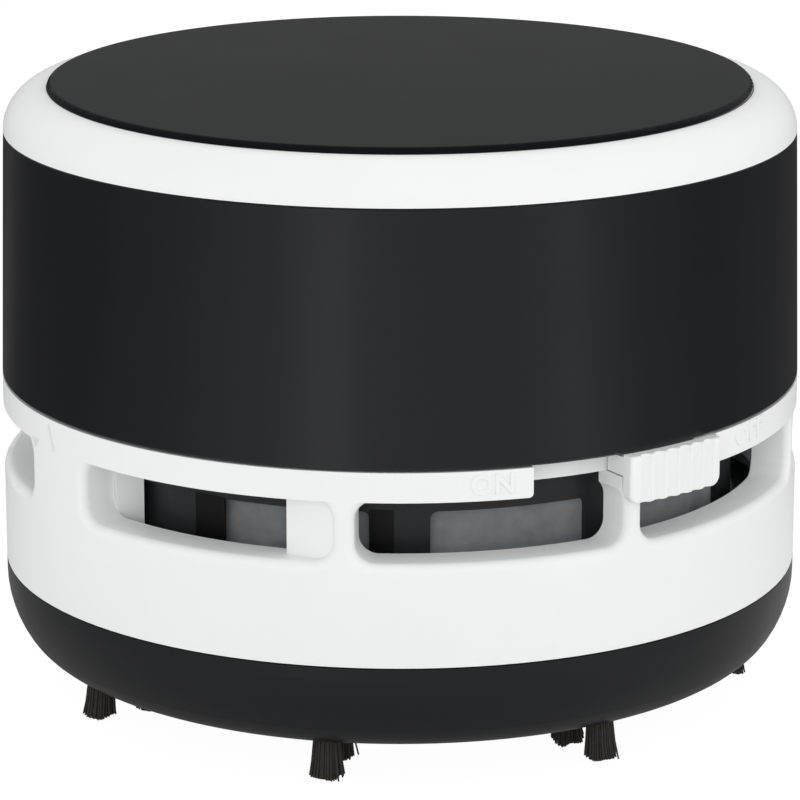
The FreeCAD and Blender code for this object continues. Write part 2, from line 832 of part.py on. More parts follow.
# Fan and motor on the upright axis
plate_radius = size("plate_radius", 27.0)
plate_thickness = size("plate_thickness", 1.0)
plate_drop = size("plate_drop", 0.7)
blade_height = size("blade_height", 7.2)
blade_thickness = size("blade_thickness", 1.0)
blade_start = size("blade_start", 9.0)
blade_end = size("blade_end", 26.0)
blade_sweep = size("blade_sweep", 38.0)
hub_radius = size("hub_radius", 4.2)
hub_nose = size("hub_nose", 1.4)
hub_drop = size("hub_drop", 0.6)
shaft_radius = size("shaft_radius", 1.0)
shaft_gap = size("shaft_gap", 0.03)
blade_count = 9
blade_bulge_share = 0.62
blade_root_share = 1.5

plate_top = deck_seat - plate_drop
plate_bottom = plate_top - plate_thickness
blade_bottom = plate_bottom - blade_height
hub_bottom = blade_bottom - hub_drop

impeller = new_body("impeller")
spin(impeller, "hub_and_plate", [
    (shaft_radius, hub_bottom),
    (hub_radius - hub_nose, hub_bottom, hub_nose, 1),
    (hub_radius, hub_bottom + hub_nose),
    (hub_radius, plate_bottom),
    (plate_radius, plate_bottom),
    (plate_radius, plate_top),
    (shaft_radius, plate_top),
])
blade_sketch = plan_sketch(impeller, "blade_plan", blade_bottom, quarter_turn)


def blade_side(sketch, first, last, bulge, side):
    """One curved side of the blade, from its root to its tip."""
    start = FreeCAD.Vector(first[0].number, first[1].number, 0)
    end = FreeCAD.Vector(last[0].number, last[1].number, 0)
    centre = arc_centre(start, end, bulge.number, side)
    pair = (start, end) if side > 0 else (end, start)
    span = [math.atan2(point.y - centre.y, point.x - centre.x) for point in pair]
    circle = Part.Circle(centre, FreeCAD.Vector(0, 0, 1), bulge.number)
    return sketch.addGeometry(Part.ArcOfCircle(circle, span[0], span[1]))


blade_bulge = blade_end * blade_bulge_share
tip_x = blade_end * cosine(blade_sweep)
tip_y = blade_end * sine(blade_sweep)
blade_corners = [
    (blade_start, blade_thickness / 2),
    (tip_x, tip_y),
    (tip_x - blade_thickness * sine(blade_sweep), tip_y + blade_thickness * cosine(blade_sweep)),
    (blade_start, blade_thickness * blade_root_share),
]
blade_side(blade_sketch, blade_corners[0], blade_corners[1], blade_bulge, 1)
blade_sketch.addGeometry(Part.LineSegment(
    FreeCAD.Vector(blade_corners[1][0].number, blade_corners[1][1].number, 0),
    FreeCAD.Vector(blade_corners[2][0].number, blade_corners[2][1].number, 0),
))
blade_side(blade_sketch, blade_corners[3], blade_corners[2], blade_bulge - blade_thickness, 1)
blade_sketch.addGeometry(Part.LineSegment(
    FreeCAD.Vector(blade_corners[3][0].number, blade_corners[3][1].number, 0),
    FreeCAD.Vector(blade_corners[0][0].number, blade_corners[0][1].number, 0),
))
# Each corner of the blade is the start or the end of one of its four sides
blade_joins = [(0, 1, 3, 2), (0, 2, 1, 1), (1, 2, 2, 2), (2, 1, 3, 1)]
for (line, end, other, other_end), (x, y) in zip(blade_joins, blade_corners):
    blade_sketch.addConstraint(Sketcher.Constraint("Coincident", line, end, other, other_end))
    for kind, value in (("DistanceX", x), ("DistanceY", y)):
        number = blade_sketch.addConstraint(
            Sketcher.Constraint(kind, -1, 1, line, end, value.number)
        )
        blade_sketch.setExpression(f"Constraints[{number}]", value.formula)
for side, bulge in ((0, blade_bulge), (2, blade_bulge - blade_thickness)):
    number = blade_sketch.addConstraint(Sketcher.Constraint("Radius", side, bulge.number))
    blade_sketch.setExpression(f"Constraints[{number}]", bulge.formula)
blade = raised(impeller, "blade", blade_sketch, blade_height + plate_thickness / 2)
repeated(impeller, "blades", [blade], blade_sketch, blade_count, level=True)

can_radius = size("can_radius", 10.05)
can_wall = size("can_wall", 0.8)
boss_radius = size("boss_radius", 3.0)
boss_reach = size("boss_reach", 1.6)
bush_radius = size("bush_radius", 2.1)
magnet_thickness = size("magnet_thickness", 1.5)
magnet_inset = size("magnet_inset", 2.0)
magnet_span = size("magnet_span", 90.0)
armature_radius = size("armature_radius", 6.2)
armature_slot = size("armature_slot", 1.2)
armature_core = size("armature_core", 3.0)
commutator_radius = size("commutator_radius", 2.2)
terminal_width = size("terminal_width", 2.0)
terminal_height = size("terminal_height", 3.2)
terminal_inset = size("terminal_inset", 1.4)
sheet_metal = size("sheet_metal", 0.4)


def flatted(name, radius, width, height, level):
    """A round bar with two flats that face left and right of the pack."""
    bar = cylinder(name + "_round", radius, height, z=level)
    flats = box(name + "_flats", width, radius * 2 + cut_overrun, height, z=level)
    return shared(name, [bar, flats])


can_outside = united("can_outside", [
    flatted("can_block", can_radius, can_flat_width, can_height, can_bottom),
    cylinder("can_boss", boss_radius, boss_reach + can_wall, z=can_bottom - boss_reach),
])
can_inside = flatted(
    "can_room", can_radius - can_wall, can_flat_width - can_wall * 2, can_height,
    can_bottom + can_wall,
)
motor_can = carved("motor_can_cut", can_outside, [
    can_inside,
    cylinder(
        "can_bush_hole", bush_radius, boss_reach + can_wall + cut_overrun * 2,
        z=can_bottom - boss_reach - cut_overrun,
    ),
])
sub_part(turned(motor_can, pack_angle - quarter_turn), "motor_can")
cap_outside = united("end_cap_outside", [
    flatted("end_cap_block", can_radius, can_flat_width, end_cap_height, can_top),
    cylinder("end_cap_boss", boss_radius, boss_reach + can_wall, z=end_cap_top - can_wall),
])
motor_end_cap = carved("motor_end_cap_cut", cap_outside, [
    cylinder("brush_room", armature_radius, end_cap_height - can_wall, z=can_top),
    cylinder("end_bush_hole", bush_radius, end_cap_height + boss_reach + cut_overrun, z=can_top),
])
sub_part(turned(motor_end_cap, pack_angle - quarter_turn), "motor_end_cap")

motor_bushes = new_body("motor_bushes")
for name, level in (("front", can_bottom - boss_reach), ("rear", end_cap_top - can_wall)):
    spin(
        motor_bushes, name + "_bush",
        block(shaft_radius + shaft_gap, bush_radius, level, level + boss_reach + can_wall),
    )
sector(
    "motor_cushion", shaft_hole_radius, can_flat_width / 2, cushion_bottom, can_bottom
)

magnet_outer = can_radius - can_wall - fit_gap
magnet_inner = magnet_outer - magnet_thickness
motor_magnets = new_body("motor_magnets")
magnet = spin(
    motor_magnets, "magnet",
    block(magnet_inner, magnet_outer, can_bottom + can_wall + magnet_inset, can_top - magnet_inset),
    post_angle - magnet_span / 2, magnet_span,
)
repeated(motor_magnets, "magnet_pair", [magnet], magnet.Profile[0], 2)

motor_armature = new_body("motor_armature")
armature_bottom = can_bottom + can_wall + magnet_inset
armature_top = can_top - magnet_inset
commutator_top = end_cap_top - can_wall - fit_gap * 2
spin(motor_armature, "armature", [
    (shaft_radius, armature_bottom),
    (armature_radius, armature_bottom),
    (armature_radius, armature_top),
    (commutator_radius, armature_top),
    (commutator_radius, commutator_top),
    (shaft_radius, commutator_top),
])
# Three winding slots, each wider inside than at its mouth
slot_cut = spin(
    motor_armature, "winding_slot",
    block(armature_core, armature_radius + cut_overrun, armature_bottom, armature_top),
    0, armature_slot / armature_core * (half_turn / math.pi), cut=True,
)
repeated(motor_armature, "winding_slots", [slot_cut], slot_cut.Profile[0], 3)

motor_shaft = cylinder(
    "motor_shaft_bar", shaft_radius, end_cap_top + boss_reach - hub_bottom, z=hub_bottom
)
sub_part(motor_shaft, "motor_shaft")

motor_strap = carved("motor_strap_cut", box(
    "strap_bar", boss_radius * 2 + post_radius, (post_offset + post_radius) * 2, strap_thickness,
    z=end_cap_top,
), [
    cylinder("strap_middle_hole", boss_radius + fit_gap, strap_thickness, z=end_cap_top),
    cylinder(
        "strap_front_hole", screw_radius + fit_gap, strap_thickness, y=-post_offset, z=end_cap_top
    ),
    cylinder(
        "strap_back_hole", screw_radius + fit_gap, strap_thickness, y=post_offset, z=end_cap_top
    ),
])
sub_part(turned(motor_strap, pack_angle - quarter_turn), "motor_strap")

strap_screws = new_body("strap_screws")
head_level = end_cap_top + strap_thickness
shank_sketch = plan_circle(
    strap_screws, "shank_circle", head_level, post_angle, post_offset, screw_radius
)
shank = raised(strap_screws, "shank", shank_sketch, screw_length, upwards=False)
head_sketch = plan_circle(
    strap_screws, "head_circle", head_level, post_angle, post_offset, screw_head_radius
)
head = raised(strap_screws, "head", head_sketch, screw_head_height)
repeated(strap_screws, "screw_pair", [shank, head], shank_sketch, 2, level=True)

# Cells and their contacts, laid out across the deck on both sides of the motor
nub_radius = size("nub_radius", 2.75)
contact_width = size("contact_width", 9.0)
contact_height = size("contact_height", 9.5)
contact_tail = size("contact_tail", 5.0)
nub_root_share = 1.5
link_bar_share = 0.4

cell_level = deck_top + tray_wall + cell_gap + cell_radius
trough_half = cell_half + sheet_metal + cell_gap * 2
tray_half_width = cell_offset + cell_radius + cell_gap + tray_wall
tray_half_length = trough_half + tray_wall
tray_block = shared("tray_block", [
    box("tray_box", tray_half_width * 2, tray_half_length * 2, cell_level - deck_top, z=deck_top),
    cylinder("tray_limit", collar_inner - running_gap, cell_level, z=0),
])
tray_tools = [
    box(
        "motor_channel", motor_room * 2, (tray_half_length + cut_overrun) * 2, cell_level,
        z=deck_top + tray_wall,
    ),
    cylinder("motor_hole", can_radius + running_gap, cell_level, z=0),
]
for side, sign in (("left", -1), ("right", 1)):
    tray_tools.append(cylinder(
        side + "_trough", cell_radius + cell_gap, trough_half * 2, x=cell_offset * sign,
        y=-trough_half, z=cell_level, along_y=True,
    ))
    tray_tools.append(cylinder(
        side + "_post_hole", post_radius + running_gap, cell_level, y=post_offset * sign, z=0
    ))
battery_tray = carved("battery_tray_cut", tray_block, tray_tools)
sub_part(turned(battery_tray, pack_angle - quarter_turn), "battery_tray")

cell_solids = []
for side, sign in (("left", -1), ("right", 1)):
    # The two cells lie the opposite way round, each with its nub at one end
    body_start = -cell_half if sign > 0 else nub_reach - cell_half
    nub_start = cell_half - nub_reach * nub_root_share if sign > 0 else -cell_half
    cell_solids.append(cylinder(
        side + "_cell", cell_radius, cell_length, x=cell_offset * sign, y=body_start, z=cell_level,
        along_y=True,
    ))
    cell_solids.append(cylinder(
        side + "_nub", nub_radius, nub_reach * nub_root_share, x=cell_offset * sign, y=nub_start,
        z=cell_level, along_y=True,
    ))
sub_part(turned(united("cell_pair", cell_solids), pack_angle - quarter_turn), "battery_cells")

contact_place = cell_half + cell_gap + sheet_metal / 2
link_pieces = [box(
    "link_bar", cell_offset * 2, sheet_metal, contact_height * link_bar_share, y=contact_place,
    z=cell_level,
)]
for side, sign in (("left", -1), ("right", 1)):
    link_pieces.append(box(
        side + "_link_pad", contact_width, sheet_metal, contact_height,
        x=cell_offset * sign, y=contact_place, z=cell_level - contact_height / 2,
    ))
sub_part(turned(united("link_plate_union", link_pieces), pack_angle - quarter_turn), "cell_link_plate")
plates = []
for side, sign in (("left", -1), ("right", 1)):
    plates.append(box(
        side + "_plate", contact_width, sheet_metal, contact_height + contact_tail,
        x=cell_offset * sign, y=-contact_place, z=cell_level - contact_height / 2,
    ))
sub_part(turned(united("contact_plates", plates), pack_angle - quarter_turn), "cell_contact_plates")

tabs = []
for side, sign in (("left", -1), ("right", 1)):
    tabs.append(box(
        side + "_tab", sheet_metal, terminal_width, terminal_height,
        x=(can_flat_width / 2 - terminal_inset) * sign, z=end_cap_top,
    ))
sub_part(turned(united("terminal_tabs", tabs), pack_angle - quarter_turn), "motor_terminals")

# Slide: the ribbed knob outside, its stem through the slot, the carrier and the wiper inside
knob_rise = size("knob_rise", 1.4)
knob_gap = size("knob_gap", 0.25)
knob_drop = size("knob_drop", 4.75)
knob_overlap = size("knob_overlap", 0.2)
knob_corner = size("knob_corner", 1.1)
knob_round = size("knob_round", 0.35)
rib_groove_radius = size("rib_groove_radius", 0.75)
rib_groove_depth = size("rib_groove_depth", 0.55)
carrier_depth = size("carrier_depth", 2.9)
carrier_height = size("carrier_height", 3.2)
wiper_depth = size("wiper_depth", 1.8)
contact_gap = size("contact_gap", 0.15)
contact_rise = size("contact_rise", 0.7)
contact_span = size("contact_span", 8.6)
drum_clearance = size("drum_clearance", 1.4)
rib_groove_count = 6
rib_groove_end_share = 0.6

knob_inner = body_radius + knob_gap
knob_outer = knob_inner + knob_rise
knob_bottom = rail_top - knob_drop
knob_top = rail_top + knob_overlap
stem_bottom = slot_bottom + contact_gap
stem_top = slot_top - contact_gap
stem_end = collar_inner - running_gap
notch_clear_top = rail_top - contact_gap

switch_knob = new_body("switch_knob")
spin(
    switch_knob, "knob_shell", block(knob_inner, knob_outer, knob_bottom, knob_top),
    knob_start_angle, knob_span,
)


def knob_corner_edge(edge, middle):
    """True for the two lower corners of the knob."""
    return reaches(edge, knob_inner, knob_outer) and near(middle.z, knob_bottom.number)


def knob_edge(edge, middle):
    """True for the outer edges of the knob's ends, sides and foot."""
    radius = math.hypot(middle.x, middle.y)
    return radius > ((knob_inner + knob_outer) / 2 + fit_gap).number


softened(switch_knob, "knob_corners", knob_corner, knob_corner_edge)
softened(switch_knob, "knob_edges", knob_round, knob_edge)
rib_pitch = knob_span / (rib_groove_count + rib_groove_end_share * 2)
groove_sketch = plan_circle(
    switch_knob, "rib_groove_circle", knob_top + cut_overrun,
    knob_start_angle + rib_pitch * (rib_groove_end_share + 1 / 2),
    knob_outer + rib_groove_radius - rib_groove_depth, rib_groove_radius,
)
rib_groove = raised(
    switch_knob, "rib_groove", groove_sketch, knob_top - knob_bottom + cut_overrun * 2, cut=True,
    upwards=False,
)
repeated(
    switch_knob, "rib_grooves", [rib_groove], groove_sketch, rib_groove_count, rib_pitch, level=True
)
# The stem passes under the drum and over the skirt, with an upright web between its two levels
web_inner = rail_inner + running_gap
web_outer = body_radius - drum_clearance
spin(switch_knob, "stem", [
    (stem_end, stem_bottom),
    (web_inner, stem_bottom),
    (web_inner, deck_seat + contact_gap),
    (knob_inner + knob_rise / 2, deck_seat + contact_gap),
    (knob_inner + knob_rise / 2, notch_clear_top),
    (web_outer, notch_clear_top),
    (web_outer, stem_top),
    (stem_end, stem_top),
], stem_start_angle, stem_span)

carrier_outer = stem_end
carrier_inner = carrier_outer - carrier_depth
carrier_bottom = deck_top + running_gap
sector(
    "switch_carrier", carrier_inner, carrier_outer, carrier_bottom, carrier_bottom + carrier_height,
    stem_start_angle, stem_span,
)
wiper_bottom = deck_top + contact_rise + running_gap
sector(
    "switch_wiper", carrier_inner - wiper_depth, carrier_inner, wiper_bottom,
    wiper_bottom + sheet_metal, stem_start_angle, stem_span,
)
switch_contacts = new_body("switch_contacts")
contact = spin(
    switch_contacts, "contact",
    block(
        carrier_inner - wiper_depth, carrier_inner - running_gap, deck_top, deck_top + contact_rise
    ),
    stem_start_angle + stem_span - contact_span, contact_span,
)
repeated(switch_contacts, "contacts", [contact], contact.Profile[0], 2, -knob_travel)

# Cap: the white crown and drum, the black band round it and the black plate on top
sleeve_wall = size("sleeve_wall", 1.1)
drum_wall = size("drum_wall", 1.5)
crown_land = size("crown_land", 0.35)
disc_thickness = size("disc_thickness", 1.6)
disc_round = size("disc_round", 0.6)
cap_top_wall = size("cap_top_wall", 1.6)
cap_inner_corner = size("cap_inner_corner", 2.0)
sleeve_bevel = size("sleeve_bevel", 0.2)

band_top_radius = body_radius - band_draft
disc_radius = band_top_radius - crown_rise - crown_land
drum_outer_low = body_radius - sleeve_wall - fit_gap
drum_outer_high = band_top_radius - sleeve_wall - fit_gap
drum_bottom = slot_top + contact_gap
disc_seat = disc_top_level - disc_thickness
ceiling = disc_seat - cap_top_wall

cap_shell = new_body("cap_shell")
spin(cap_shell, "crown_and_drum", [
    (drum_outer_low - drum_wall, drum_bottom),
    (drum_outer_low, drum_bottom),
    (drum_outer_high, band_top),
    (band_top_radius, band_top, crown_rise, 1),
    (band_top_radius - crown_rise, crown_top),
    (disc_radius + fit_gap, crown_top),
    (disc_radius + fit_gap, disc_seat),
    (0, disc_seat),
    (0, ceiling),
    (drum_outer_high - drum_wall - cap_inner_corner, ceiling, cap_inner_corner, -1),
    (drum_outer_high - drum_wall, ceiling - cap_inner_corner),
])
lug = spin(
    cap_shell, "lock_lug",
    block(collar_outer + running_gap, drum_outer_low - drum_wall / 2, lug_bottom, lug_top),
    first_lock_angle - lug_span / 2, lug_span,
)
repeated(cap_shell, "lock_lugs", [lug], lug.Profile[0], lock_count)

band_sleeve = new_body("band_sleeve")
spin(band_sleeve, "sleeve", [
    (body_radius - sleeve_wall, band_bottom),
    (body_radius - sleeve_bevel, band_bottom),
    (body_radius, band_bottom + sleeve_bevel),
    (band_top_radius, band_top - sleeve_bevel),
    (band_top_radius - sleeve_bevel, band_top),
    (band_top_radius - sleeve_wall, band_top),
])

top_disc = new_body("top_disc")
spin(top_disc, "disc", [
    (0, disc_seat),
    (disc_radius, disc_seat),
    (disc_radius, disc_top_level - disc_round, disc_round, 1),
    (disc_radius - disc_round, disc_top_level),
    (0, disc_top_level),
])

# Every feature has to be sound before anything is written
document.recompute()
for thing in document.Objects:
    if "Invalid" in thing.State or "Error" in thing.State:
        raise RuntimeError(f"{thing.Name} did not build: {thing.State}")
os.makedirs("parts", exist_ok=True)
for thing in sub_parts:
    if thing.Shape.isNull() or not thing.Shape.isValid():
        raise RuntimeError(f"{thing.Label} has no sound shape")
for thing in sub_parts:
    thing.Shape.exportStep(f"parts/{thing.Label}.step")
    print(f"{thing.Label}: {len(thing.Shape.Solids)} solid(s), {thing.Shape.Volume / 1000:.2f} cm3")
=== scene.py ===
import math
import random

import bpy
from mathutils import Matrix, Vector


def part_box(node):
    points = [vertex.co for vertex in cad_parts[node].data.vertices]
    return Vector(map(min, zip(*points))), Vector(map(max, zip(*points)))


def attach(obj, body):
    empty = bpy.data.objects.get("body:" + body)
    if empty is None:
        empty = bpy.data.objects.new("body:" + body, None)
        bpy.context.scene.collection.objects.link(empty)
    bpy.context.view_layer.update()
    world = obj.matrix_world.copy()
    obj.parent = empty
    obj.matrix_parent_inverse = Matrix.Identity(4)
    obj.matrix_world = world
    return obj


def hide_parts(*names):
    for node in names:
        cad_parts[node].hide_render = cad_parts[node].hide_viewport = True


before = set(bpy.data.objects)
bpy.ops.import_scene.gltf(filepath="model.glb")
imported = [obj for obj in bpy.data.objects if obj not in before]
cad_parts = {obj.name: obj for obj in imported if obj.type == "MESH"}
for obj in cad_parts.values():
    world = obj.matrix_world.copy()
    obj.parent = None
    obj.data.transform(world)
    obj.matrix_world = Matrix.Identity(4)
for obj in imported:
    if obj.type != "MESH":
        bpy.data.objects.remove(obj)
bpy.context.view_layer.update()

# %% [markdown]
# A desktop crumb sweeper is a small round vacuum cleaner that is pushed about on brush tufts.
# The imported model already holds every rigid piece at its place, so this lesson gives each piece
# its finish, completes the filter's cloth and two ribs of the ring, swaps the plain brush cones for
# real bristles, adds the raised words and lock marks, and sets up the camera and the light of the
# photograph.

# %% Units and the sizes that the pieces below share
MM = 0.001


def box_mm(node):
    """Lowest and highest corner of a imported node, in millimetres."""
    low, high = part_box(node)
    return [value / MM for value in low], [value / MM for value in high]


body_radius = box_mm("ring_housing")[1][0]
underside = box_mm("base_bowl")[0][2]
cloth_low, cloth_high = box_mm("filter_mesh")
cloth_radius = cloth_high[0]
print("body radius", round(body_radius, 2), "cloth radius", round(cloth_radius, 2))
print("underside", round(underside, 2))

# %% [markdown]
# The camera stands in front and a little above the top disc, which is why the disc shows as a wide
# ellipse. A long lens keeps the sides nearly upright. The shift moves the picture down a little
# without tilting the camera any further.

# %% Camera at the photograph's view, with lengths in millimetres and the picture in pixels
IMAGE_SIDE = 800
FOCAL_PIXELS = 4058
SENSOR = 36.0
CAMERA_DISTANCE = 435.7
CAMERA_ELEVATION = math.radians(14.67)
AIM_HEIGHT = 35.7
PRINCIPAL_ROW = 350

camera_data = bpy.data.cameras.new("photo_camera")
camera_data.sensor_width = SENSOR
camera_data.lens = FOCAL_PIXELS / IMAGE_SIDE * SENSOR
camera_data.shift_y = (PRINCIPAL_ROW - IMAGE_SIDE / 2) / IMAGE_SIDE
camera = bpy.data.objects.new("photo_camera", camera_data)
bpy.context.collection.objects.link(camera)
camera.location = Vector((
    0,
    -CAMERA_DISTANCE * math.cos(CAMERA_ELEVATION),
    AIM_HEIGHT + CAMERA_DISTANCE * math.sin(CAMERA_ELEVATION),
)) * MM
camera.rotation_euler = (math.pi / 2 - CAMERA_ELEVATION, 0, 0)
bpy.context.scene.camera = camera
print("lens", round(camera_data.lens, 1), "mm, shift", round(camera_data.shift_y, 4))

# %% [markdown]
# Materials are built from nodes. One helper adds a node, sets its options and fills its inputs with
# plain values or with links from other nodes, so that a material reads as a short list. Colours are
# written as the hex values that a paint program shows, and one function turns them to the linear
# values that the renderer works in.

# %% Helpers for colours and nodes


def linear(hex_colour):
    """The linear RGBA of an sRGB hex colour, by the standard's curve."""
    colour = []
    for start in (1, 3, 5):
        part = int(hex_colour[start:start + 2], 16) / 255
        colour.append(part / 12.92 if part <= 0.04045 else ((part + 0.055) / 1.055) ** 2.4)
    return colour + [1]


def add_node(tree, kind, options=None, inputs=None):
    """Adds one node, with its options, and with inputs that are values or other nodes' outputs."""
    node = tree.nodes.new(kind)
    for name, value in (options or {}).items():
        setattr(node, name, value)
    for name, value in (inputs or {}).items():
        if isinstance(value, bpy.types.NodeSocket):
            tree.links.new(value, node.inputs[name])
        else:
            node.inputs[name].default_value = value
    return node


def new_material(name):
    """An empty node material with its output, and the object coordinates in metres."""
    material = bpy.data.materials.new(name)
    material.use_nodes = True
    tree = material.node_tree
    tree.nodes.clear()
    output = add_node(tree, "ShaderNodeOutputMaterial")
    place = add_node(tree, "ShaderNodeTexCoord").outputs["Object"]
    return material, tree, output, place


def per_mm(millimetres):
    """The texture scale at which one feature is this many millimetres wide."""
    return 1 / (millimetres * MM)


def moulded(name, light, dark, roughness, ior=1.46, patch=9.0, grain=0.12, relief=0.004, spread=0.06):
    """A moulded plastic: faint patches of colour and gloss, and a fine skin from the mould."""
    material, tree, output, place = new_material(name)
    patches = add_node(tree, "ShaderNodeTexNoise", inputs={
        "Vector": place, "Scale": per_mm(patch), "Detail": 3.0, "Roughness": 0.5,
    })
    colour = add_node(tree, "ShaderNodeMix", {"data_type": "RGBA"}, {
        "Factor": patches.outputs["Fac"], "A": linear(light), "B": linear(dark),
    })
    gloss = add_node(tree, "ShaderNodeMapRange", inputs={
        "Value": patches.outputs["Fac"], "From Min": 0.3, "From Max": 0.7,
        "To Min": roughness - spread / 2, "To Max": roughness + spread / 2,
    })
    skin = add_node(tree, "ShaderNodeTexNoise", inputs={
        "Vector": place, "Scale": per_mm(grain), "Detail": 2.0, "Roughness": 0.6,
    })
    bump = add_node(tree, "ShaderNodeBump", inputs={
        "Height": skin.outputs["Fac"], "Distance": relief * MM, "Strength": 1.0,
    })
    shader = add_node(tree, "ShaderNodeBsdfPrincipled", inputs={
        "Base Color": colour.outputs["Result"], "Roughness": gloss.outputs["Result"],
        "IOR": ior, "Normal": bump.outputs["Normal"],
    })
    tree.links.new(shader.outputs["BSDF"], output.inputs["Surface"])
    return material


# %% [markdown]
# The shells are moulded ABS. The white one is bright and slightly glossy, the black band is
# polished, and the black base has a satin skin, so its reflections are wider.

# %% Shell materials
white_abs = moulded("white_gloss_abs", "#F4F5F4", "#F0F1F1", 0.34, ior=1.2)
# A greyer white: the own colour of the inner pieces, and painted shade where it covers the end-rib
# wedges and the lock marks on the ring
inner_white_and_painted_shade = moulded("white_satin_and_painted_shade_abs", "#E9EBEB", "#E2E5E5", 0.45)
black_band_abs = moulded("black_polished_abs", "#16171A", "#191A1D", 0.2)
black_base_abs = moulded("black_satin_abs", "#191A1C", "#1C1D20", 0.36, grain=0.2, relief=0.008)
# A dull near-black that is painted shadow, for the strips beside the cage's pillars
painted_shadow_black_abs = moulded("painted_shadow_black_abs", "#0B0B0C", "#0E0E0F", 0.6, grain=0.2, relief=0.01)
black_frame_abs = moulded("black_frame_abs", "#242527", "#2A2B2D", 0.46, grain=0.2, relief=0.01)
disc_acrylic = moulded("black_disc_acrylic", "#0C0F13", "#0E1115", 0.14, ior=1.36, relief=0.001)

# %% [markdown]
# The filter sleeve is woven from grey yarn. Its threads follow the sleeve round and up, so the
# weave is worked out from the angle about the upright axis and from the height.

# %% Woven filter cloth
THREAD_PITCH = 0.22
THREAD_RELIEF = 0.05
FUZZ_SIZE = 1.6


def woven(name, yarn, gap, pitch):
    """Cloth on an upright sleeve: two sets of threads, one round it and one up it."""
    material, tree, output, place = new_material(name)
    parts = add_node(tree, "ShaderNodeSeparateXYZ", inputs={"Vector": place})
    angle = add_node(tree, "ShaderNodeMath", {"operation": "ARCTAN2"}, {
        0: parts.outputs["Y"], 1: parts.outputs["X"],
    })
    directions = (
        (angle.outputs[0], 2 * math.pi * cloth_radius / pitch),
        (parts.outputs["Z"], 2 * math.pi / (pitch * MM)),
    )
    waves = []
    for source, scale in directions:
        phase = add_node(tree, "ShaderNodeMath", {"operation": "MULTIPLY"}, {0: source, 1: scale})
        wave = add_node(tree, "ShaderNodeMath", {"operation": "SINE"}, {0: phase.outputs[0]})
        waves.append(wave.outputs[0])
    crossing = add_node(tree, "ShaderNodeMath", {"operation": "MULTIPLY"}, {0: waves[0], 1: waves[1]})
    height = add_node(tree, "ShaderNodeMapRange", inputs={
        "Value": crossing.outputs[0], "From Min": -1.0, "From Max": 1.0,
    })
    fuzz = add_node(tree, "ShaderNodeTexNoise", inputs={
        "Vector": place, "Scale": per_mm(FUZZ_SIZE), "Detail": 4.0,
    })
    mix = add_node(tree, "ShaderNodeMath", {"operation": "MULTIPLY"}, {
        0: height.outputs["Result"], 1: fuzz.outputs["Fac"],
    })
    colour = add_node(tree, "ShaderNodeMix", {"data_type": "RGBA"}, {
        "Factor": mix.outputs[0], "A": linear(gap), "B": linear(yarn),
    })
    bump = add_node(tree, "ShaderNodeBump", inputs={
        "Height": height.outputs["Result"], "Distance": THREAD_RELIEF * MM, "Strength": 0.6,
    })
    shader = add_node(tree, "ShaderNodeBsdfPrincipled", inputs={
        "Base Color": colour.outputs["Result"], "Roughness": 0.7, "Sheen Weight": 0.3,
        "Normal": bump.outputs["Normal"],
    })
    tree.links.new(shader.outputs["BSDF"], output.inputs["Surface"])
    return material


filter_cloth = woven("grey_woven_polyester", "#B4BABE", "#747A7E", THREAD_PITCH)

# %% [markdown]
# The pieces inside are seen only when the sweeper is open or from below, but each still gets the
# finish of its real material: brushed steel, nickel plate, bronze, ferrite, copper and rubber.

# %% Materials of the pieces inside
LINE_SIZE = 0.5
LINE_RELIEF = 0.01


def metal(name, light, dark, roughness, stretch):
    """A metal with fine brushed or rolled lines that run along its stretched direction."""
    material, tree, output, place = new_material(name)
    mapping = add_node(tree, "ShaderNodeMapping", inputs={"Vector": place, "Scale": stretch})
    lines = add_node(tree, "ShaderNodeTexNoise", inputs={
        "Vector": mapping.outputs["Vector"], "Scale": per_mm(LINE_SIZE), "Detail": 4.0,
    })
    colour = add_node(tree, "ShaderNodeMix", {"data_type": "RGBA"}, {
        "Factor": lines.outputs["Fac"], "A": linear(light), "B": linear(dark),
    })
    gloss = add_node(tree, "ShaderNodeMapRange", inputs={
        "Value": lines.outputs["Fac"], "To Min": roughness * 0.8, "To Max": roughness * 1.2,
    })
    bump = add_node(tree, "ShaderNodeBump", inputs={
        "Height": lines.outputs["Fac"], "Distance": LINE_RELIEF * MM, "Strength": 0.5,
    })
    shader = add_node(tree, "ShaderNodeBsdfPrincipled", inputs={
        "Base Color": colour.outputs["Result"], "Roughness": gloss.outputs["Result"],
        "Metallic": 1.0, "Normal": bump.outputs["Normal"],
    })
    tree.links.new(shader.outputs["BSDF"], output.inputs["Surface"])
    return material


drawn_steel = metal("drawn_steel", "#C9CBCE", "#A9ABAE", 0.32, (1, 1, 8))
nickel_plate = metal("nickel_plate", "#D6D3CC", "#BDBAB3", 0.25, (1, 6, 1))
sintered_bronze = metal("sintered_bronze", "#C79A5B", "#9A7440", 0.4, (1, 1, 1))
enamelled_copper = metal("enamelled_copper", "#B5673A", "#8C4A26", 0.35, (1, 1, 10))
ferrite = moulded("sintered_ferrite", "#3A3A3C", "#2D2D2F", 0.62, grain=0.3, relief=0.02)
rubber = moulded("black_rubber", "#1E1E1E", "#262626", 0.72, grain=0.4, relief=0.02)
foam = moulded("charcoal_foam", "#3A3B3D", "#2A2B2D", 0.9, grain=0.5, relief=0.12)
cell_sleeve = moulded("printed_cell_sleeve", "#2E6B4B", "#2A6245", 0.3, relief=0.002)
nylon = moulded("brown_black_nylon", "#2F2B28", "#4A4642", 0.42, patch=0.5, relief=0.002)

# %% [markdown]
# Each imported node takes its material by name. The nodes keep their places and their meshes.

